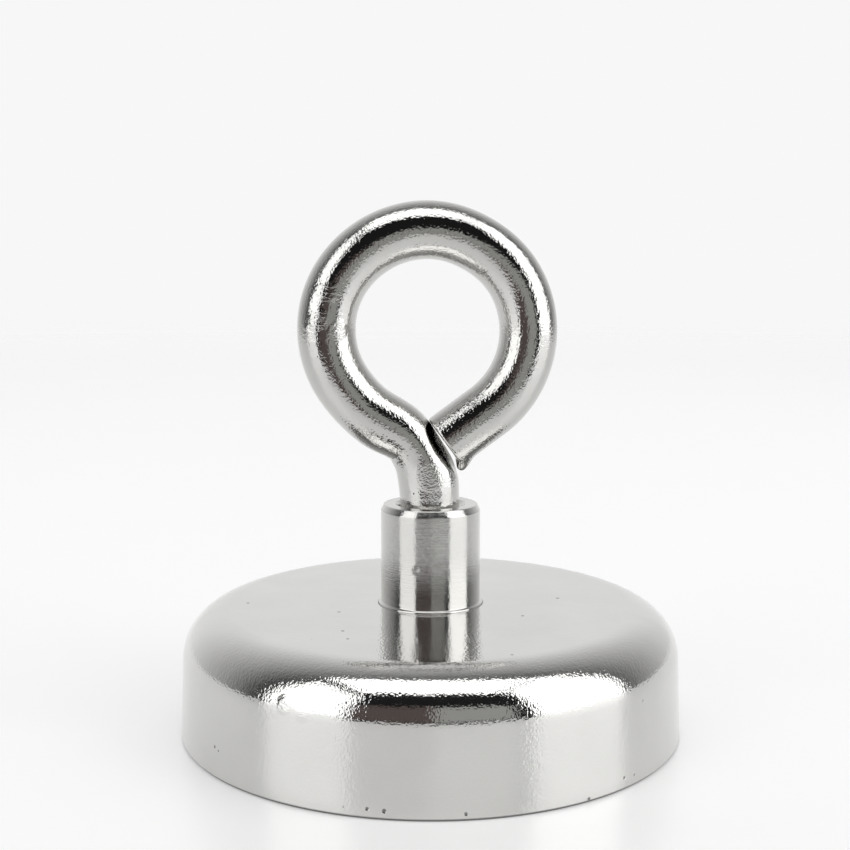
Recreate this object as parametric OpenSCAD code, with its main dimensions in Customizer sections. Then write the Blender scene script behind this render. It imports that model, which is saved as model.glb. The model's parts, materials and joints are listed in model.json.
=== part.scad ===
// Magnet fishing magnet: a nickel-plated pot magnet with a threaded boss and a screwed-in eye bolt.
// Millimetres. Origin at the centre of the working face, +Z up through the boss to the eye.
// The eye lies in the XZ plane, so its hole runs along Y.

/* [Pot] */
// Diameter of the steel pot at its working face
pot_d = 75; // [70:0.5:90]
// Height of the steel pot
pot_h = 18.5; // [17.5:0.1:21]
// Radius of the rounded shoulder between the top and the side
shoulder_r = 7; // [3:0.1:7.5]
// Inward lean of the side wall, in degrees
side_draft = 1.7; // [0:0.1:2.5]
// Bevel round the outside of the working rim
rim_bevel = 0.3; // [0.1:0.05:0.6]
// Diameter of the magnet's cavity
cavity_d = 64; // [62:0.5:64]
// Depth of the magnet's cavity
cavity_depth = 10; // [8:0.1:10.5]

/* [Boss] */
// Diameter of the threaded boss above the pot
boss_d = 15; // [14:0.1:18]
// Height of the boss's top face above the working face
boss_top = 33.6; // [30:0.1:36]
// Width of the step from the boss down to the land pressed through the pot's roof
land_step = 0.4; // [0.3:0.05:1]
// How far the land stands proud of the pot's top
land_proud = 0.3; // [0.1:0.05:0.5]
// Diameter of the flange inside the pot
flange_d = 24; // [20:0.5:30]
// Thickness of the flange inside the pot
flange_t = 3; // [2:0.1:4]
// Bevel round the top of the boss
boss_bevel = 0.6; // [0.2:0.05:1]

/* [Thread] */
// Nominal diameter of the eye bolt's thread
thread_d = 10; // [10:0.5:11]
// Pitch of the thread
pitch = 1.5; // [1.25:0.25:1.5]
// Height of the eye bolt's lower end above the working face
bolt_tip_z = 15.2; // [15:0.1:17]
// Number of turns of thread on the eye bolt
thread_turns = 9; // [6:1:9]
// Height of the thread-lock bead
bead_h = 2.5; // [1:0.1:3]

/* [Eye] */
// Diameter of the bar that the eye bolt is bent from
bar_d = 8.7; // [8:0.05:8.8]
// Radius of the eye, at the middle of the bar
eye_r = 15.05; // [14.5:0.05:16.5]
// Height of the eye's centre above the working face
eye_z = 59.6; // [59:0.1:64]
// Sideways offset of the eye's centre from the shank
eye_x = -0.3; // [-0.5:0.1:0.5]
// Radius of the bend from the eye into the shank, at the middle of the bar
neck_r = 10.5; // [9.5:0.1:11]
// Gap between the bar's cut end and the neck
end_gap = 0.2; // [0.1:0.05:1]

/* [Magnet] */
// Diameter of the magnet disc
magnet_d = 60; // [50:0.5:60]
// Depth of the magnet's face behind the working face
magnet_recess = 0.3; // [0.1:0.05:0.5]
// Thickness of the adhesive film above the magnet
glue_t = 0.15; // [0.05:0.05:0.3]
// Depth of the resin's face behind the working face
resin_recess = 0.5; // [0.3:0.05:0.8]

/* [Hidden] */
$fn = 96;
fit_gap = 0.06;
bar_r = bar_d / 2;
// A straight length of the bar is slimmer than a bend by this much, and is let into it this far
seat = 0.01;
let_in = 0.2;
// The shoulder's circle touches the leaning side wall and the flat top
shoulder_x = pot_d / 2 - shoulder_r / cos(side_draft) - (pot_h - shoulder_r) * tan(side_draft);
shoulder_z = pot_h - shoulder_r;
side_top_x = shoulder_x + shoulder_r * cos(side_draft);
side_top_z = shoulder_z + shoulder_r * sin(side_draft);
land_d = boss_d + 2 * land_step;
// The boss is bored blind from its mouth, with a drill's cone below the thread
bore_bottom = 14;
drill_cone = 2;
mouth_bevel = 0.35;
// The thread's ridges stop short of the plain shank
crest_r = thread_d / 2 - fit_gap;
root_r = crest_r - 0.6134 * pitch;
crest_flat = pitch / 8;
root_flat = pitch / 4;
flank = (pitch - crest_flat - root_flat) / 2;
tip_bevel = 1;
thread_top = bolt_tip_z + tip_bevel + thread_turns * pitch;
bead_z = thread_top + 0.1;
// The legs run down from the eye at these angles: the left one into the neck, the right one to the cut
leg_angle = 30;
end_angle = 36;
leg_start_x = eye_r * sin(leg_angle);
leg_start_z = eye_z - eye_r * cos(leg_angle);
// The neck's bend turns the left leg into the vertical shank at x = 0
neck_start_x = -neck_r * sin(leg_angle);
left_leg = (neck_start_x - (eye_x - leg_start_x)) / cos(leg_angle);
neck_start_z = leg_start_z - left_leg * sin(leg_angle);
shank_top = neck_start_z - neck_r * cos(leg_angle);
// The right leg runs straight at the neck's bend and stops a gap short of its surface
end_start_x = eye_r * sin(end_angle);
end_start_z = eye_z - eye_r * cos(end_angle);
end_run_x = eye_x + end_start_x + neck_r;
end_run_z = end_start_z - shank_top;
end_side = end_run_z * cos(end_angle) - end_run_x * sin(end_angle);
right_leg = end_run_x * cos(end_angle) + end_run_z * sin(end_angle)
          - sqrt(pow(neck_r + bar_r + end_gap, 2) - pow(end_side, 2));

// Turned steel cup: leaning side, rounded shoulder, flat roof with a stepped centre hole
module pot_shell() {
    color("gainsboro")
    rotate_extrude($fn = 180)
    difference() {
        union() {
            polygon([[0, 0], [pot_d / 2 - rim_bevel, 0],
                     [pot_d / 2 - rim_bevel * tan(side_draft), rim_bevel],
                     [side_top_x, side_top_z], [shoulder_x, shoulder_z],
                     [shoulder_x, pot_h], [0, pot_h]]);
            translate([shoulder_x, shoulder_z]) circle(r = shoulder_r);
        }
        translate([-pot_d, -pot_d]) square([pot_d, 3 * pot_d]);
        translate([-1, -1]) square([1 + cavity_d / 2, 1 + cavity_depth]);
        translate([-1, 0]) square([1 + flange_d / 2, cavity_depth + flange_t]);
        translate([-1, 0]) square([1 + land_d / 2, pot_h + 1]);
    }
}

// Turned bush pressed up through the pot's roof, tapped from its mouth
module threaded_boss() {
    color("silver")
    difference() {
        rotate_extrude()
        polygon([[0, cavity_depth], [flange_d / 2, cavity_depth],
                 [flange_d / 2, cavity_depth + flange_t], [land_d / 2, cavity_depth + flange_t],
                 [land_d / 2, pot_h + land_proud / 2], [land_d / 2 - land_proud / 2, pot_h + land_proud],
                 [boss_d / 2, pot_h + land_proud], [boss_d / 2, boss_top - boss_bevel],
                 [boss_d / 2 - boss_bevel, boss_top], [0, boss_top]]);
        translate([0, 0, bore_bottom]) cylinder(d = thread_d, h = boss_top);
        translate([0, 0, bore_bottom - drill_cone])
            cylinder(d1 = 0, d2 = thread_d, h = drill_cone);
        translate([0, 0, boss_top - mouth_bevel])
            cylinder(d1 = thread_d, d2 = thread_d + 4 * mouth_bevel, h = 2 * mouth_bevel);
    }
}

// Flat rare-earth magnet, set back a little from the working rim
module magnet_disc() {
    color("lightgray")
    translate([0, 0, magnet_recess])
        cylinder(d = magnet_d, h = cavity_depth - glue_t - magnet_recess, $fn = 180);
}

// Cured adhesive film that holds the magnet to the pot's roof
module magnet_adhesive() {
    color("darkkhaki")
    translate([0, 0, cavity_depth - glue_t]) cylinder(d = magnet_d, h = glue_t, $fn = 180);
}

// Black resin poured into the gap between the magnet and the pot
module potting_resin() {
    color("#26262a")
    translate([0, 0, resin_recess])
    difference() {
        cylinder(d = cavity_d, h = cavity_depth - resin_recess, $fn = 180);
        translate([0, 0, -1]) cylinder(d = magnet_d, h = cavity_depth + 2, $fn = 180);
    }
}

// Ring of cured thread-lock adhesive in the bore, above the thread
module thread_lock_bead() {
    color("royalblue")
    translate([0, 0, bead_z])
    difference() {
        cylinder(r = crest_r, h = bead_h);
        translate([0, 0, -1]) cylinder(r = bar_r + fit_gap, h = bead_h + 2);
    }
}

// An arc of bar in the XZ plane, counter-clockwise from the start angle
module bar_arc(x, z, bend_r, start, sweep) {
    translate([x, 0, z])
    rotate([90, 0, 0])
    rotate([0, 0, start])
    rotate_extrude(angle = sweep)
    translate([bend_r, 0])
    circle(r = bar_r, $fn = 48);
}

// A straight length of bar in the XZ plane, sloping down to the right, or left if the slope is negative
module bar_leg(x, z, length, slope) {
    translate([x, 0, z])
    rotate([0, sign(slope) * 90 + slope, 0])
    translate([0, 0, -let_in])
    cylinder(r = bar_r - seat, h = length + let_in, $fn = 48);
}

// Bolt's thread drawn as level ridges at the thread's pitch, with a bevelled tip
module thread_ridges() {
    ridge_z = [for (turn = [0 : thread_turns - 1]) bolt_tip_z + tip_bevel + turn * pitch];
    rotate_extrude()
    polygon(concat(
        [[0, bolt_tip_z], [root_r - tip_bevel / 2, bolt_tip_z], [root_r, bolt_tip_z + tip_bevel]],
        [for (z = ridge_z, p = [[root_r, root_flat / 2], [crest_r, root_flat / 2 + flank],
                                [crest_r, root_flat / 2 + flank + crest_flat],
                                [root_r, pitch - root_flat / 2]]) [p[0], z + p[1]]],
        [[root_r, thread_top], [0, thread_top]]));
}

// One round bar: threaded shank, bent neck, eye, and a cut end that nearly touches the neck
module eye_bolt() {
    color("silver")
    union() {
        thread_ridges();
        translate([0, 0, thread_top])
            cylinder(r = bar_r - seat, h = shank_top + let_in - thread_top, $fn = 48);
        bar_arc(-neck_r, shank_top, neck_r, 0, 90 - leg_angle);
        bar_leg(eye_x - leg_start_x, leg_start_z, left_leg + let_in, leg_angle);
        bar_arc(eye_x, eye_z, eye_r, end_angle - 90, 360 - leg_angle - end_angle);
        bar_leg(eye_x + end_start_x, end_start_z, right_leg, -end_angle);
    }
}

pot_shell();
threaded_boss();
magnet_disc();
magnet_adhesive();
potting_resin();
thread_lock_bead();
eye_bolt();
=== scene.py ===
import json
import math

import bmesh
import bpy
import numpy as np
from mathutils import Matrix, Vector, noise


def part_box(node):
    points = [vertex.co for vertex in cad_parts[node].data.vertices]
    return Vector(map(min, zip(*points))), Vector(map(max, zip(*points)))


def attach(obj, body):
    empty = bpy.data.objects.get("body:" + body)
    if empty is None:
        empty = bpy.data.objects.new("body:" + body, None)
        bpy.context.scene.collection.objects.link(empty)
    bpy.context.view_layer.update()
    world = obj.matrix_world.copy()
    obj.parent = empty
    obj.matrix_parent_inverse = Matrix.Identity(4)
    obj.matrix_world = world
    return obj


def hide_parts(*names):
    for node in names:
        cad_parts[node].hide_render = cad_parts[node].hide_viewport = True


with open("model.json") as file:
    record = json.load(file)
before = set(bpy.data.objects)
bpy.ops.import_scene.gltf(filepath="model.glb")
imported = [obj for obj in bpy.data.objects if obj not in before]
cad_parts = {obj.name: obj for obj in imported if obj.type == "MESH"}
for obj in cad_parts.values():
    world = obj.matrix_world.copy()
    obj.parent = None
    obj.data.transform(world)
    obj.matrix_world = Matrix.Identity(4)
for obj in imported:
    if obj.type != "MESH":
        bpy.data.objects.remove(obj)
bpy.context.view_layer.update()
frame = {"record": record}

MM = 0.001
TURN = 2 * math.pi

# Pot, in millimetres. The box of the CAD pot gives its size.
POT_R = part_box("pot_shell")[1][0] / MM
POT_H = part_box("pot_shell")[1][2] / MM
SHOULDER_R = 7.0
SIDE_DRAFT = math.radians(1.7)
RIM_BEVEL = 0.3
CAVITY_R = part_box("potting_resin")[1][0] / MM
CAVITY_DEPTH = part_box("potting_resin")[1][2] / MM
POT_SEGMENTS = 288
# pieces that touch are made this much smaller than the space they fill
SKIN = 0.02

# Boss
BOSS_R = 7.5
BOSS_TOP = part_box("threaded_boss")[1][2] / MM
LAND_R = 7.9
LAND_PROUD = 0.3
FLANGE_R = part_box("threaded_boss")[1][0] / MM
FLANGE_T = 3.0
# width and height
BOSS_BEVEL = (0.45, 0.9)
MOUTH_BEVEL = 1.15
BORE_BOTTOM = 14.0
DRILL_CONE = 2.0

# Thread, M10 x 1.5, right-handed
PITCH = 1.5
BOLT_ROOT_R = 4.04
BOLT_CREST_R = 4.90
BORE_CREST_R = 4.20
THREAD_PLAY = 0.09
MOUTH_R = 5.35
THREAD_STEP = PITCH / 16

# Eye bolt
BAR_R = 4.35
EYE_R = 15.05
EYE_X = -0.3
EYE_Z = 59.6
NECK_R = 10.5
LEG_ANGLE = math.radians(30)
END_ANGLE = math.radians(36)
TIP_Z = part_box("eye_bolt")[0][2] / MM
THREAD_TOP = 29.7
BAR_SEGMENTS = 144
# the cut end stands this far inside the neck's round surface, in a pressed flat
CUT_DEPTH = 0.59
END_ROUND = 0.4
SIDE = np.array([0, 1, 0])

# Magnet
MAGNET_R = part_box("magnet_disc")[1][0] / MM
MAGNET_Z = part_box("magnet_disc")[0][2] / MM
MAGNET_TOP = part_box("magnet_disc")[1][2] / MM


# ---------------------------------------------------------------- meshes

def ring_mesh(name, rings, along, wrap=False):
    """A closed skin over rings of points in millimetres, capped at both ends, or joined end to end.

    Each point keeps a "grain" attribute: its distance along the piece, and the cosine and sine of its
    place round the ring, which is what turned and drawn metal needs for its lines.
    """
    rings = np.asarray(rings, float)
    count, around = rings.shape[:2]
    verts = rings.reshape(-1, 3)
    angle = np.arange(around) * TURN / around
    grain = np.stack([np.repeat(np.asarray(along, float), around),
                      np.tile(np.cos(angle), count), np.tile(np.sin(angle), count)], 1)
    row = np.arange(count if wrap else count - 1)[:, None] * around
    col = np.arange(around)[None]
    nxt = (col + 1) % around
    up = (row + around) % (count * around)
    quads = np.stack([row + col, row + nxt, up + nxt, up + col], -1).reshape(-1, 4)
    faces = quads.tolist()
    if not wrap:
        for ring, flip in ((0, True), (count - 1, False)):
            centre = len(verts)
            verts = np.vstack([verts, rings[ring].mean(0)])
            grain = np.vstack([grain, [along[ring], 0, 0]])
            start = ring * around
            for i in range(around):
                pair = [start + i, start + (i + 1) % around]
                faces.append((pair[::-1] if flip else pair) + [centre])
    mesh = bpy.data.meshes.new(name)
    mesh.from_pydata((verts * MM).tolist(), [], faces)
    attribute = mesh.attributes.new("grain", "FLOAT_VECTOR", "POINT")
    attribute.data.foreach_set("vector", grain.astype(np.float32).ravel())
    work = bmesh.new()
    work.from_mesh(mesh)
    bmesh.ops.recalc_face_normals(work, faces=work.faces)
    work.to_mesh(mesh)
    work.free()
    mesh.shade_smooth()
    mesh.set_sharp_from_angle(angle=math.radians(40))
    piece = bpy.data.objects.new(name, mesh)
    bpy.context.scene.collection.objects.link(piece)
    return piece


def lathe(name, profile, segments, wrap=False, radius=None):
    """A turned piece from (radius, height) points. radius(r, z, angle) may vary it round a ring."""
    profile = np.asarray(profile, float)
    angle = np.arange(segments) * TURN / segments
    rings = []
    for r, z in profile:
        rr = radius(r, z, angle) if radius else np.full(segments, r)
        rings.append(np.stack([rr * np.cos(angle), rr * np.sin(angle), np.full(segments, z)], 1))
    step = np.hypot(*np.diff(profile, axis=0).T)
    return ring_mesh(name, rings, np.concatenate([[0], np.cumsum(step)]), wrap)


def rounded(points, radii, steps=5):
    """The same outline with each corner replaced by an arc of its radius (0 keeps it sharp)."""
    out = []
    last = len(points) - 1
    for i, (point, radius) in enumerate(zip(points, radii)):
        p = Vector(point)
        if radius == 0 or i in (0, last):
            out.append(tuple(p))
            continue
        a = (Vector(points[i - 1]) - p).normalized()
        b = (Vector(points[i + 1]) - p).normalized()
        half = math.acos(max(-1, min(1, a.dot(b)))) / 2
        reach = radius / math.tan(half)
        centre = p + (a + b).normalized() * (radius / math.sin(half))
        start = p + a * reach - centre
        sweep = (p + b * reach - centre).angle_signed(start)
        for k in range(steps + 1):
            turn = Matrix.Rotation(sweep * k / steps, 2)
            out.append(tuple(centre + turn @ start))
    return out


def filled(points, longest):
    """The outline with extra points, so that no stretch is longer than longest."""
    out = [points[0]]
    for a, b in zip(points, points[1:]):
        n = max(1, math.ceil(math.dist(a, b) / longest))
        out += [tuple(np.add(a, np.subtract(b, a) * k / n)) for k in range(1, n + 1)]
    return out


def arc(cx, cz, radius, start, end, steps):
    angles = np.linspace(start, end, steps + 1)
    return [(cx + radius * math.cos(a), cz + radius * math.sin(a)) for a in angles]


# ---------------------------------------------------------------- pieces

def make_pot():
    """Turned cup: ground rim, leaning side, rounded shoulder, flat roof, stepped hole for the boss."""
    cx = POT_R - SHOULDER_R / math.cos(SIDE_DRAFT) - (POT_H - SHOULDER_R) * math.tan(SIDE_DRAFT)
    cz = POT_H - SHOULDER_R
    side_top = (cx + SHOULDER_R * math.cos(SIDE_DRAFT), cz + SHOULDER_R * math.sin(SIDE_DRAFT))
    edge = 0.25
    rim = rounded([(CAVITY_R, CAVITY_DEPTH), (CAVITY_R, edge), (CAVITY_R + edge, 0),
                   (POT_R - RIM_BEVEL, 0), (POT_R, RIM_BEVEL), side_top], [0, 0.1, 0.1, 0.12, 0.3, 0], 4)
    outside = rim[:-1] + arc(cx, cz, SHOULDER_R, SIDE_DRAFT, math.pi / 2, 48)
    inside = [(LAND_R + 0.12, POT_H), (LAND_R, POT_H - 0.12), (LAND_R, CAVITY_DEPTH + FLANGE_T),
              (FLANGE_R, CAVITY_DEPTH + FLANGE_T), (FLANGE_R, CAVITY_DEPTH)]
    return lathe("pot", filled(outside + inside, 1.5), POT_SEGMENTS, wrap=True)


def thread_radius(z, angle, root, crest):
    """Radius of an M-profile thread at a height and angle: root flat, 60 degree flank, crest flat."""
    turn = (z / PITCH - angle / TURN) % 1.0
    from_crest = np.abs(turn - 0.5)
    return root + (crest - root) * np.clip((0.375 - from_crest) / 0.3125, 0, 1)


def make_boss():
    """Turned bush: flange and land under and through the roof, chamfered top, tapped blind bore."""
    outside = rounded([(0.3, CAVITY_DEPTH), (FLANGE_R, CAVITY_DEPTH), (FLANGE_R, CAVITY_DEPTH + FLANGE_T),
                       (LAND_R - SKIN, CAVITY_DEPTH + FLANGE_T), (LAND_R - SKIN, POT_H + LAND_PROUD),
                       (BOSS_R, POT_H + LAND_PROUD), (BOSS_R, BOSS_TOP - BOSS_BEVEL[1]),
                       (BOSS_R - BOSS_BEVEL[0], BOSS_TOP), (MOUTH_R, BOSS_TOP),
                       (MOUTH_R - MOUTH_BEVEL, BOSS_TOP - MOUTH_BEVEL)],
                      [0, 0.2, 0.2, 0, 0.17, 0.12, 0.5, 0.22, 0.12, 0], 8)
    depths = np.arange(BOSS_TOP - MOUTH_BEVEL - THREAD_STEP, BORE_BOTTOM, -THREAD_STEP)
    bore = [(BORE_CREST_R, z) for z in depths]
    bore += [(BORE_CREST_R, BORE_BOTTOM), (0.2, BORE_BOTTOM - DRILL_CONE)]
    tapped_from = BORE_BOTTOM + 0.8

    def cut(r, z, angle):
        """The tap's grooves, which run out above the bottom of the bore."""
        if z < tapped_from or r > MOUTH_R + 0.01:
            return np.full(len(angle), r)
        depth = min(1, (z - tapped_from) / PITCH)
        crest = BOLT_CREST_R + THREAD_PLAY
        groove = thread_radius(z, angle, BOLT_ROOT_R + THREAD_PLAY, crest)
        return np.maximum(r, BORE_CREST_R + (groove - BORE_CREST_R) * depth)

    return lathe("boss", filled(outside, 0.7) + bore, 144, radius=cut)


def make_magnet():
    """Nickel-plated disc with rounded edges."""
    outline = rounded([(0.5, MAGNET_Z), (MAGNET_R - SKIN, MAGNET_Z), (MAGNET_R - SKIN, MAGNET_TOP),
                       (0.5, MAGNET_TOP)], [0, 0.5, 0.5, 0], 6)
    return lathe("magnet", filled(outline, 3), 192)


def make_resin():
    """Poured ring: its face sinks between the magnet and the pot, and creeps up both walls."""
    inner, outer = MAGNET_R + SKIN / 2, CAVITY_R - SKIN / 2
    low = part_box("potting_resin")[0][2] / MM
    creep, sag, ripple = 0.12, 0.3, 0.06
    outline = [(inner + (outer - inner) * t, low - creep + sag * (1 - (2 * t - 1) ** 2))
               for t in np.linspace(0, 1, 17)]
    outline += [(outer, CAVITY_DEPTH - SKIN), (inner, CAVITY_DEPTH - SKIN)]
    piece = lathe("resin", outline, 192, wrap=True)
    for v in piece.data.vertices:
        if v.co.z < (low + 1) * MM:
            v.co.z += ripple * MM * noise.noise(v.co / MM * 0.35)
    return piece


def make_adhesive():
    """Thin film pressed flat over the top of the magnet."""
    low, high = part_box("magnet_adhesive")[0][2] / MM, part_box("magnet_adhesive")[1][2] / MM
    outline = [(0.5, low), (MAGNET_R - 0.15, low), (MAGNET_R - 0.05, (low + high) / 2),
               (MAGNET_R - 0.15, high), (0.5, high)]
    return lathe("adhesive", outline, 96)


def make_bead():
    """Cured ring of thread-lock adhesive, squeezed out above the thread and a little lumpy."""
    low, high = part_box("thread_lock_bead")[0][2] / MM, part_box("thread_lock_bead")[1][2] / MM
    inner, outer = BAR_R + 0.05, BOLT_CREST_R - SKIN
    outline = rounded([(outer, (low + high) / 2), (outer, high), (inner, high), (inner, low), (outer, low),
                       (outer, (low + high) / 2 - 0.01)], [0, 0.2, 0.2, 0.2, 0.2, 0], 4)

    def lumpy(r, z, angle):
        swell = np.array([noise.noise(Vector((3 * math.cos(a), 3 * math.sin(a), z * 1.5))) for a in angle])
        return np.clip(r + 0.05 * swell, inner, outer)

    return lathe("thread_lock", filled(outline, 0.3), 96, wrap=True, radius=lumpy)


def bell(distance, reach):
    """1 at no distance, falling smoothly to nothing past the reach."""
    return np.exp(-(distance / reach) ** 2)


def pushed(points, centre, reach, move):
    """The points near a centre shifted by move, less the further away they are."""
    away = np.linalg.norm(points - centre, axis=-1)
    return points + bell(away, reach)[..., None] * move


def eye_radius(a):
    """The eye's radius at an angle from +X: it was bent round a former and isn't quite round."""
    degrees = math.degrees(a) % 360
    return (EYE_R + 0.22 * bell(degrees - 160, 32) - 0.18 * bell(degrees - 62, 20)
            - 0.12 * bell(degrees - 218, 14))


def bar_path():
    """The bent bar's centre line from its tip to its cut end, as (x, z, heading), heading from +X.

    Returns it with the distance along it, and the distance at which the neck's bend starts.
    """
    left_x, left_z = EYE_X - EYE_R * math.sin(LEG_ANGLE), EYE_Z - EYE_R * math.cos(LEG_ANGLE)
    right_x, right_z = EYE_X + EYE_R * math.sin(END_ANGLE), EYE_Z - EYE_R * math.cos(END_ANGLE)
    left_leg = (-NECK_R * math.sin(LEG_ANGLE) - left_x) / math.cos(LEG_ANGLE)
    neck_z = left_z - left_leg * math.sin(LEG_ANGLE) - NECK_R * math.cos(LEG_ANGLE)
    reach = (right_x + NECK_R) * math.cos(END_ANGLE) + (right_z - neck_z) * math.sin(END_ANGLE)
    right_leg = reach - (NECK_R + BAR_R - CUT_DEPTH)
    path = []
    up = math.pi / 2

    def straight(x, z, heading, length, step):
        n = max(1, round(length / step))
        for k in range(n):
            d = length * k / n
            path.append((x + d * math.cos(heading), z + d * math.sin(heading), heading))
        return x + length * math.cos(heading), z + length * math.sin(heading)

    def bend(cx, cz, radius, start, sweep, step):
        n = max(1, round(abs(sweep) * radius(start) / step))
        for k in range(n):
            a = start + sweep * k / n
            path.append((cx + radius(a) * math.cos(a), cz + radius(a) * math.sin(a),
                         a + math.copysign(up, sweep)))

    straight(0, TIP_Z, up, THREAD_TOP - TIP_Z, THREAD_STEP)
    straight(0, THREAD_TOP, up, neck_z - THREAD_TOP, 0.15)
    bend(-NECK_R, neck_z, lambda a: NECK_R, 0, up - LEG_ANGLE, 0.1)
    straight(-NECK_R * math.sin(LEG_ANGLE), neck_z + NECK_R * math.cos(LEG_ANGLE),
             math.pi - LEG_ANGLE, left_leg, 0.12)
    bend(EYE_X, EYE_Z, eye_radius, -up - LEG_ANGLE, -(TURN - LEG_ANGLE - END_ANGLE), 0.25)
    x, z = straight(right_x, right_z, math.pi + END_ANGLE, right_leg - END_ROUND, 0.12)
    x, z = straight(x, z, math.pi + END_ANGLE, END_ROUND, END_ROUND / 6)
    path.append((x, z, math.pi + END_ANGLE))
    points = np.array(path)
    step = np.hypot(np.diff(points[:, 0]), np.diff(points[:, 1]))
    return points, np.concatenate([[0], np.cumsum(step)]), neck_z - TIP_Z


def thread_run_out(z, angle):
    """Radius of the rolled thread, which fades into the plain shank above and is bevelled at the tip."""
    radius = thread_radius(z, angle, BOLT_ROOT_R, BOLT_CREST_R)
    radius = BAR_R + (radius - BAR_R) * np.clip((THREAD_TOP - z) / PITCH, 0, 1)
    return np.minimum(radius, BOLT_ROOT_R - 0.5 + (z - TIP_Z))


def neck_shape(t, angle):
    """What bending did to the round bar at the neck: the change of its radius, t mm up the bend.

    Angle 0 is the outside of the bend, where the cut end presses, and -90 degrees is the front.
    """
    bend_length = NECK_R * (math.pi / 2 - LEG_ANGLE)
    outside = np.clip(np.cos(angle), 0, 1) ** 1.5
    inside = np.clip(-np.cos(angle), 0, 1) ** 2
    # the inside of the bend bulges at its foot and its head, with a kink between
    squeezed = 0.5 * bell(t - 1.6, 4.3) + 0.33 * bell(t - bend_length - 2, 2.8)
    kink = 0.15 * bell(t - bend_length + 2.7, 0.8)
    # the outside is pressed flat, and deepest a little to the front of the cut end
    pressed = 0.7 * bell(t - 6, 3.4)
    facing = np.arctan2(np.sin(angle + 0.47), np.cos(angle + 0.47))
    hollow = 0.55 * np.clip(1 - ((t - 5.4) / 3.4) ** 2 - (facing / 0.66) ** 2, 0, 1)
    return inside * (squeezed - kink) - outside * pressed - hollow


def bar_radius(z, s, length, neck_start, angle):
    """The bar's radius round a ring at the height z, s mm along it."""
    radius = thread_run_out(z, angle) if s < THREAD_TOP - TIP_Z else np.full(BAR_SEGMENTS, BAR_R)
    radius = radius + neck_shape(s - neck_start, angle) * (z > BOSS_TOP - 3)
    into_round = END_ROUND - (length - s)
    if into_round > 0:
        radius = radius - (END_ROUND - math.sqrt(max(0, END_ROUND ** 2 - into_round ** 2)))
    return radius


def sheared_face(centre, edge, ahead):
    """Rings across the cut end, torn a little unevenly, each with its distance in from the edge."""
    for share in (0.93, 0.82, 0.68, 0.5, 0.3, 0.12):
        flat = centre + edge * share
        torn = np.array([noise.noise(Vector(p) * 1.1) for p in flat])
        yield flat + ahead * 0.06 * torn[:, None], BAR_R * (1 - share)


def with_burr(rings, centre, inward, ahead):
    """The cut end's lower front edge drawn out into a rounded burr."""
    corner = centre - inward * 0.93 * BAR_R - SIDE * 1.4
    rings = pushed(rings, corner - ahead * 0.6, 1.15, ahead * 0.35 - inward * 0.75)
    return pushed(rings, corner, 1.0, ahead * 0.6)


def make_eye_bolt():
    """One bar swept along its centre line: rolled thread, pinched neck, eye, sheared end with a burr."""
    points, along, neck_start = bar_path()
    length = along[-1]
    angle = np.arange(BAR_SEGMENTS) * TURN / BAR_SEGMENTS
    rings, marks = [], list(along)
    for (x, z, heading), s in zip(points, along):
        radius = bar_radius(z, s, length, neck_start, angle)
        centre = np.array([x, 0, z])
        inward = np.array([math.sin(heading), 0, -math.cos(heading)])
        ring = radius[:, None] * (np.cos(angle)[:, None] * inward + np.sin(angle)[:, None] * SIDE)
        rings.append(centre + ring)
    ahead = np.array([math.cos(heading), 0, math.sin(heading)])
    for face, inset in sheared_face(centre, ring, ahead):
        rings.append(face)
        marks.append(length + inset)
    rings = with_burr(np.array(rings), centre, inward, ahead)
    return ring_mesh("eye_bolt_bar", rings, marks)


# ---------------------------------------------------------------- materials

def material(name):
    """A material, its shader, and a function that adds a node and returns its first output."""
    made = bpy.data.materials.new(name)
    made.use_nodes = True
    tree = made.node_tree
    surface = tree.nodes["Principled BSDF"]

    def add(kind, inputs=(), out=0, **settings):
        node = tree.nodes.new("ShaderNode" + kind)
        for key, value in settings.items():
            setattr(node, key, value)
        for key, value in dict(inputs).items():
            if isinstance(value, bpy.types.NodeSocket):
                tree.links.new(value, node.inputs[key])
            else:
                node.inputs[key].default_value = value
        return node.outputs[out]

    def link(output, socket):
        tree.links.new(output, surface.inputs[socket])

    return made, surface, add, link


def stretched(add, vector, scale):
    return add("Mapping", {"Vector": vector, "Scale": scale})


def bump(add, height, depth, before=None):
    """A bump whose full height is depth, in millimetres."""
    inputs = {"Height": height, "Distance": depth * MM, "Strength": 1.0}
    if before:
        inputs["Normal"] = before
    return add("Bump", inputs)


def near(add, place, centre, inner, outer):
    """1 within the inner distance of a place in millimetres, and 0 beyond the outer one."""
    away = add("VectorMath", {0: place, 1: Vector(centre) * MM}, out=1, operation="DISTANCE")
    return add("MapRange", {"Value": away, "From Min": inner * MM, "From Max": outer * MM,
                            "To Min": 1, "To Max": 0}, interpolation_type="SMOOTHSTEP")


def any_of(add, masks):
    total = masks[0]
    for mask in masks[1:]:
        total = add("Math", {0: total, 1: mask}, operation="MAXIMUM")
    return total


def times(add, a, b):
    return add("Math", {0: a, 1: b}, operation="MULTIPLY")


def micro_pits(add, place, scale, share):
    """Pin holes in the plate: a dot in a few of the cells of a Voronoi pattern."""
    dots = add("TexVoronoi", {"Vector": place, "Scale": scale})
    dots = add("MapRange", {"Value": dots, "From Min": 0.02, "From Max": 0.05, "To Min": 1, "To Max": 0})
    cell = add("SeparateColor", {"Color": add("TexVoronoi", {"Vector": place, "Scale": scale}, out=1)})
    chosen = add("Math", {0: cell, 1: share}, operation="LESS_THAN")
    return times(add, dots, chosen)


def spotted(add, place, spots, inner, outer=1.0):
    """1 at spots (x, y, z, radius) in millimetres, fading between two shares of the radius."""
    return any_of(add, [near(add, place, spot[:3], spot[3] * inner, spot[3] * outer) for spot in spots])


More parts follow.
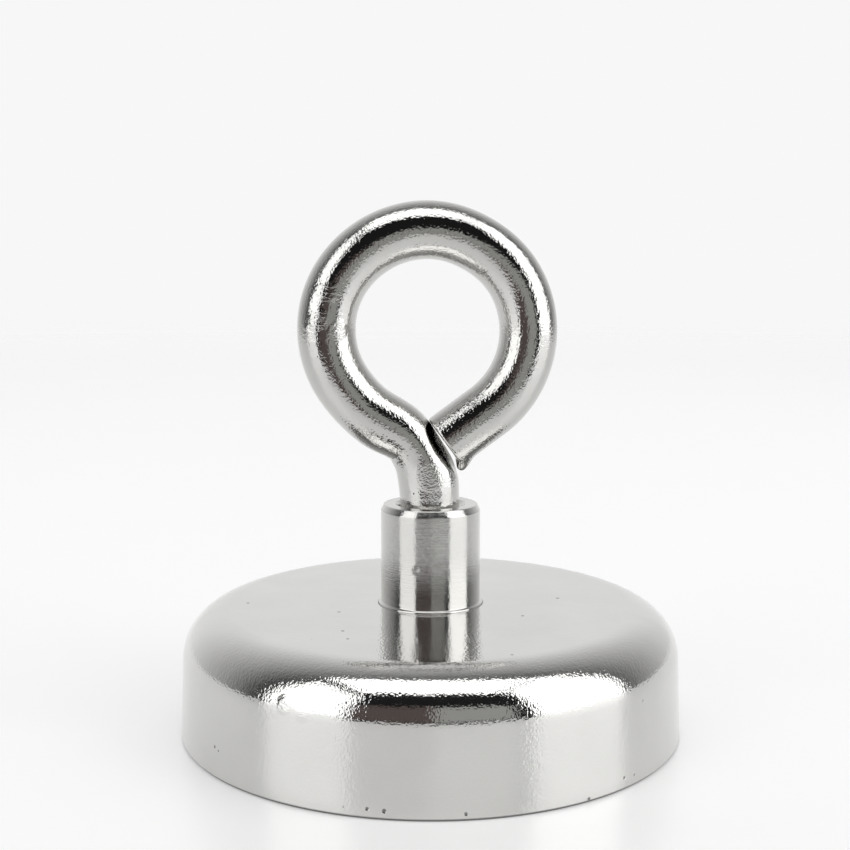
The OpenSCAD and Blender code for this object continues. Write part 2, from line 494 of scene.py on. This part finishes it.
def plate_marks(add, place, wave, peel, turned, drawn, scratch):
    """The plate's own texture: waves, grain, turning or drawing lines, and scratches."""
    grain = add("Attribute", out=1, attribute_name="grain")
    waves = add("TexNoise", {"Vector": place, "Scale": 400, "Detail": 1})
    normal = bump(add, waves, wave)
    peel_height = add("TexNoise", {"Vector": place, "Scale": 2700, "Detail": 1, "Roughness": 0.6})
    normal = bump(add, peel_height, peel, normal)
    if turned:
        rings = stretched(add, grain, (6, 1.2, 1.2))
        normal = bump(add, add("TexNoise", {"Vector": rings, "Scale": 1, "Detail": 3}), turned, normal)
    if drawn:
        lines = stretched(add, grain, (0.07, 24, 24))
        normal = bump(add, add("TexNoise", {"Vector": lines, "Scale": 1, "Detail": 3}), drawn, normal)
    along_x = stretched(add, place, (2600, 260, 700))
    marks = add("TexNoise", {"Vector": along_x, "Scale": 1, "Detail": 1})
    marks = add("MapRange", {"Value": marks, "From Min": 0.68, "From Max": 0.8})
    return bump(add, marks, -scratch, normal)


def rub(add, place, scuffs, normal):
    """Patches rubbed into short streaks."""
    streaks = stretched(add, place, (900, 1500, 3200))
    streaks = add("TexNoise", {"Vector": streaks, "Scale": 1, "Detail": 3})
    return bump(add, times(add, streaks, spotted(add, place, scuffs, 0.5)), 0.12, normal)


def crumple(add, place, centre, patch, normal):
    """Plate crumpled by bending: folds in rings round a centre, with grit over them."""
    centred = add("Mapping", {"Vector": place, "Location": Vector(centre) * -MM})
    folds = add("TexWave", {"Vector": centred, "Scale": 620, "Distortion": 7.0, "Detail": 3,
                            "Detail Scale": 2.0}, out=1, wave_type="RINGS", rings_direction="SPHERICAL")
    grit = add("TexNoise", {"Vector": place, "Scale": 3300, "Detail": 1, "Roughness": 0.7})
    normal = bump(add, times(add, folds, patch), 0.009, normal)
    return bump(add, times(add, grit, patch), 0.05, normal)


def below(add, place, height):
    """1 below 0.6 of a height in millimetres, and 0 above it."""
    z = add("SeparateXYZ", {"Vector": place}, out=2)
    return add("MapRange", {"Value": z, "From Min": height * 0.6 * MM, "From Max": height * MM,
                            "To Min": 1, "To Max": 0})


def tinted(add, colour, tone):
    return add("Mix", {"Factor": 1.0, "A": (*colour, 1), "B": tone}, out=2, data_type="RGBA",
               blend_type="MULTIPLY")


def nickel(name, colour, rough, spread, wave, peel, turned=0, drawn=0, scratch=0.002, pits=(), dents=(),
           scuffs=(), wrinkles=None, contact_shade_height=0):
    """Bright nickel plate. spread is how much further gloss spreads across turning marks than along.

    wave, peel, turned, drawn and scratch are the depths of its marks in millimetres. Pits are dark,
    dents are bright, scuffs are rubbed patches, and wrinkles is a patch where bending has crumpled the
    plate: each is (x, y, z, radius) in millimetres. Below the height foot, the base colour is darkened
    as a painted contact shadow where the rim meets the floor, and the plate is made rougher.
    """
    made, surface, add, link = material(name)
    place = add("TexCoord", out=3)
    normal = plate_marks(add, place, wave, peel, turned, drawn, scratch)
    fine = add("TexNoise", {"Vector": place, "Scale": 1400, "Detail": 2})
    gloss = add("MapRange", {"Value": fine, "From Min": 0.3, "From Max": 0.7,
                             "To Min": rough * 0.85, "To Max": rough * 1.2})
    dark = micro_pits(add, place, 330, 0.12)
    if pits:
        dark = any_of(add, [dark, spotted(add, place, pits, 0.45, 0.9)])
    normal = bump(add, dark, -0.06, normal)
    if dents:
        normal = bump(add, spotted(add, place, dents, 0), -0.05, normal)
    if scuffs:
        normal = rub(add, place, scuffs, normal)
    if wrinkles:
        patch = near(add, place, wrinkles[:3], wrinkles[3] * 0.75, wrinkles[3])
        normal = crumple(add, place, wrinkles[:3], patch, normal)
        gloss = add("Math", {0: patch, 1: 0.12, 2: gloss}, operation="MULTIPLY_ADD")
    # painted contact shadow: below the given height the base colour is darkened where the rim meets the
    # floor, and the plate is made rougher
    if contact_shade_height:
        contact_shade = below(add, place, contact_shade_height)
        dark = any_of(add, [dark, contact_shade])
        gloss = add("Math", {0: contact_shade, 1: 0.3, 2: gloss}, operation="MULTIPLY_ADD")
    cloud = add("TexNoise", {"Vector": place, "Scale": 90, "Detail": 3})
    tone = add("MapRange", {"Value": cloud, "From Min": 0.35, "From Max": 0.65,
                            "To Min": 0.97, "To Max": 1.02})
    # darkens the base colour at the pits, and at the painted contact shadow along the bottom edge
    pits_and_contact_shade = add("MapRange", {"Value": dark, "To Min": 1, "To Max": 0.3})
    link(normal, "Normal")
    link(tinted(add, colour, times(add, tone, pits_and_contact_shade)), "Base Color")
    link(gloss, "Roughness")
    surface.inputs["Metallic"].default_value = 1.0
    if spread:
        surface.inputs["Anisotropic"].default_value = spread
        surface.inputs["Anisotropic Rotation"].default_value = 0.25
        link(add("Tangent", direction_type="RADIAL", axis="Z"), "Tangent")
    return made


def resin_black():
    made, surface, add, link = material("black_resin")
    place = add("TexCoord", out=3)
    cloud = add("TexNoise", {"Vector": place, "Scale": 500, "Detail": 4})
    bubbles = add("TexVoronoi", {"Vector": place, "Scale": 420})
    bubbles = add("MapRange", {"Value": bubbles, "From Min": 0.05, "From Max": 0.16})
    normal = bump(add, cloud, 0.03)
    link(bump(add, bubbles, 0.05, normal), "Normal")
    ramp = add("MapRange", {"Value": cloud, "To Min": 0.012, "To Max": 0.035})
    link(add("CombineColor", {"Red": ramp, "Green": ramp, "Blue": ramp}), "Base Color")
    link(add("MapRange", {"Value": cloud, "To Min": 0.16, "To Max": 0.4}), "Roughness")
    return made


def glue(name, colour, rough):
    made, surface, add, link = material(name)
    place = add("TexCoord", out=3)
    cloud = add("TexNoise", {"Vector": place, "Scale": 700, "Detail": 4})
    link(bump(add, cloud, 0.04), "Normal")
    tone = add("MapRange", {"Value": cloud, "To Min": 0.7, "To Max": 1.25})
    link(tinted(add, colour, tone), "Base Color")
    link(add("MapRange", {"Value": cloud, "To Min": rough * 0.7, "To Max": rough * 1.4}), "Roughness")
    return made


# ---------------------------------------------------------------- studio

VIEW_AZIMUTH = math.radians(-5)
SURROUND_R = 2.4


def studio(x, y, z):
    """A point given with the camera straight ahead on -Y, turned to where the camera stands, in metres."""
    c, s = math.cos(VIEW_AZIMUTH), math.sin(VIEW_AZIMUTH)
    return Vector((x * c - y * s, x * s + y * c, z))


def glow(name, colour, strength):
    made = bpy.data.materials.new(name)
    made.use_nodes = True
    nodes, links = made.node_tree.nodes, made.node_tree.links
    nodes.clear()
    shine = nodes.new("ShaderNodeEmission")
    shine.inputs["Color"].default_value = (*colour, 1)
    shine.inputs["Strength"].default_value = strength
    links.new(shine.outputs[0], nodes.new("ShaderNodeOutputMaterial").inputs["Surface"])
    return made


def card(name, corners, colour, strength):
    """A flat card or softbox that lights and mirrors in the metal, and isn't seen by the camera."""
    mesh = bpy.data.meshes.new(name)
    mesh.from_pydata([studio(*p) for p in corners], [], [(0, 1, 2, 3)])
    made = bpy.data.objects.new(name, mesh)
    mesh.materials.append(glow(name, colour, strength))
    made.visible_camera = False
    bpy.context.scene.collection.objects.link(made)
    return made


def wall(name, a, b, low, high, colour, strength):
    """An upright card between two (x, y) places."""
    return card(name, [(*a, low), (*b, low), (*b, high), (*a, high)], colour, strength)


def make_studio():
    white = (1, 1, 1)
    wall("left_softbox", (-0.96, -0.26), (-0.96, -1.35), 0.0, 1.5, white, 1.75)
    wall("right_softbox", (1.05, 0.03), (1.05, -1.08), 0.0, 1.85, white, 2.2)
    top = [(-0.88, -1.1, 1.7), (0.88, -1.1, 1.7), (0.88, -0.06, 1.7), (-0.88, -0.06, 1.7)]
    card("top_softbox", top, white, 2.4)
    # cards close to the camera, which darken the middle of every reflection
    wall("front_grey", (0.004, -0.175), (0.114, -0.175), 0.01, 0.095, (1.0, 1.0, 0.96), 0.38)
    wall("front_brown", (-0.104, -0.175), (0.004, -0.175), 0.01, 0.097, (1.15, 0.92, 0.88), 0.1)
    make_surround()
    make_floor()
    make_world()


def make_surround():
    """Dome round the set, dark in front and pale behind, which isn't seen by the camera."""
    mesh = bpy.data.meshes.new("surround")
    work = bmesh.new()
    bmesh.ops.create_uvsphere(work, u_segments=48, v_segments=24, radius=SURROUND_R)
    work.to_mesh(mesh)
    work.free()
    dome = bpy.data.objects.new("surround", mesh)
    dome.visible_camera = False
    bpy.context.scene.collection.objects.link(dome)
    made = glow("surround", (1, 1, 1), 1)
    nodes, links = made.node_tree.nodes, made.node_tree.links
    place = nodes.new("ShaderNodeTexCoord")
    back = nodes.new("ShaderNodeVectorMath")
    back.operation = "DOT_PRODUCT"
    back.inputs[1].default_value = studio(-0.08, 1, 0)
    fade = nodes.new("ShaderNodeMapRange")
    fade.inputs["From Min"].default_value = -0.14 * SURROUND_R
    fade.inputs["From Max"].default_value = 0.87 * SURROUND_R
    fade.inputs["To Min"].default_value = 0.015
    fade.inputs["To Max"].default_value = 0.92
    links.new(place.outputs["Object"], back.inputs[0])
    links.new(back.outputs["Value"], fade.inputs["Value"])
    links.new(fade.outputs[0], nodes["Emission"].inputs["Strength"])
    mesh.materials.append(made)


def make_floor():
    """White table, a little glossy, which fades into the backdrop before its edge shows.

    It is cut away in front of the camera, where the metal would mirror it.
    """
    size, near_y = 4.0, -0.2
    left, right, far_left, far_right = -0.145, 0.2, -2.895, size
    corners = [(-size, -size), (far_left, -size), (left, near_y), (-size, near_y),
               (far_right, -size), (size, near_y), (right, near_y), (size, size), (-size, size)]
    mesh = bpy.data.meshes.new("floor")
    mesh.from_pydata([studio(x, y, 0) for x, y in corners], [],
                     [(0, 1, 2, 3), (6, 4, 5), (3, 2, 6, 5, 7, 8)])
    floor = bpy.data.objects.new("floor", mesh)
    bpy.context.scene.collection.objects.link(floor)
    made, surface, add, link = material("floor_white")
    surface.inputs["Base Color"].default_value = (0.7, 0.7, 0.7, 1)
    surface.inputs["Roughness"].default_value = 0.3
    surface.inputs["Specular IOR Level"].default_value = 0.85
    surface.inputs["Emission Color"].default_value = (1, 1, 1, 1)
    surface.inputs["Emission Strength"].default_value = 0.265
    far = add("VectorMath", {0: add("TexCoord", out=3)}, out=1, operation="LENGTH")
    link(add("MapRange", {"Value": far, "From Min": 0.45, "From Max": 1.6, "To Min": 1, "To Max": 0},
             interpolation_type="SMOOTHSTEP"), "Alpha")
    mesh.materials.append(made)


def make_world():
    """Plain pale backdrop, as the camera sees it from every side."""
    world = bpy.data.worlds.new("studio")
    bpy.context.scene.world = world
    world.use_nodes = True
    background = world.node_tree.nodes["Background"]
    background.inputs["Color"].default_value = (1, 1, 1, 1)
    background.inputs["Strength"].default_value = 0.93


def make_camera():
    """Stands where the picture was taken: just above the eye's middle, looking slightly down."""
    data = bpy.data.cameras.new("camera")
    camera = bpy.data.objects.new("camera", data)
    bpy.context.scene.collection.objects.link(camera)
    data.sensor_width = 36
    data.lens = 55.32
    data.shift_y = -0.047
    data.clip_start = 0.01
    elevation = math.radians(5.06)
    distance = 0.1958
    target = Vector((-0.00083, 0, 0.05149))
    stand = target + Vector((0, -distance * math.cos(elevation), distance * math.sin(elevation)))
    camera.location = studio(*stand)
    camera.rotation_euler = (math.pi / 2 - elevation, 0, VIEW_AZIMUTH)
    bpy.context.scene.camera = camera


# ---------------------------------------------------------------- assembly

def assemble(piece, node, finish):
    """Put a piece in its CAD node's place, on that node's body."""
    bodies = frame["record"]["behaviour"]["bodies"]
    body = next(name for name, nodes in bodies.items() if node in nodes)
    piece.data.materials.append(finish)
    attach(piece, body)
    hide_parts(node)


PLATE = (0.65, 0.645, 0.63)
# marks, as (x, y, z, radius) in millimetres
ROOF_PITS = [(-27.6, 1.2, 18.5, 0.35), (-13.7, -15.4, 18.5, 0.35), (-13.1, -19.4, 18.5, 0.3),
             (-14, -5.2, 18.5, 0.35), (19.6, 0, 18.5, 0.4), (12.6, -9.7, 18.5, 0.35),
             (8.1, -28.7, 18.4, 0.3)]
SIDE_PITS = [(26.4, -26.4, 11, 0.35), (-31.1, -20.5, 4.4, 0.35), (-30.6, -21.3, 4.1, 0.25)]
RIM_PITS = [(-34.2, -14.6, 1, 0.4), (-11.2, -35.6, 1.4, 0.4), (-9.1, -36.2, 1.3, 0.45),
            (-14.1, -34.5, 1.3, 0.3), (1, -37.3, 1, 0.4), (23, -29.4, 1.7, 0.35),
            (24.7, -28, 1.5, 0.3), (17.5, -33, 0.5, 0.4)]
POT_SCUFFS = [(-21.2, -29.5, 13, 1.6), (-19, -31, 12.3, 1.4)]
BOSS_DENTS = [(-2.7, -7, 24.9, 1.05)]
EYE_PITS = [(-4.1, -2.7, 39.5, 0.4), (-6, -1.6, 40.3, 0.35)]
EYE_SCUFFS = [(-15.5, -4.2, 65.5, 2.2), (-16.8, -4.2, 61.5, 2), (-13.8, -4, 60, 1.8)]
NECK_WRINKLES = (-0.4, -4.3, 38.4, 2.6)

# the pot's last setting is the height, 0.45 mm, of the painted contact shadow darkening its bottom edge
nickel_pot = nickel("nickel_pot", PLATE, 0.075, 0.5, 0.014, 0.027, turned=0.003,
                    pits=ROOF_PITS + SIDE_PITS + RIM_PITS, scuffs=POT_SCUFFS, contact_shade_height=0.45)
nickel_boss = nickel("nickel_boss", (0.585, 0.58, 0.565), 0.17, 0.9, 0.006, 0.014, turned=0.012,
                     dents=BOSS_DENTS)
nickel_eye = nickel("nickel_eye", (0.575, 0.57, 0.555), 0.035, 0, 0.05, 0.045, drawn=0.01,
                    scratch=0.003, pits=EYE_PITS, scuffs=EYE_SCUFFS, wrinkles=NECK_WRINKLES)
nickel_magnet = nickel("nickel_magnet", (0.62, 0.61, 0.59), 0.24, 0, 0.004, 0.0015)
clear_adhesive = glue("clear_adhesive", (0.62, 0.55, 0.36), 0.2)
blue_threadlock = glue("blue_threadlock", (0.03, 0.1, 0.5), 0.35)

assemble(make_pot(), "pot_shell", nickel_pot)
assemble(make_boss(), "threaded_boss", nickel_boss)
assemble(make_eye_bolt(), "eye_bolt", nickel_eye)
assemble(make_magnet(), "magnet_disc", nickel_magnet)
assemble(make_resin(), "potting_resin", resin_black())
assemble(make_adhesive(), "magnet_adhesive", clear_adhesive)
assemble(make_bead(), "thread_lock_bead", blue_threadlock)

make_studio()
make_camera()
bpy.context.scene.view_settings.view_transform = "Standard"
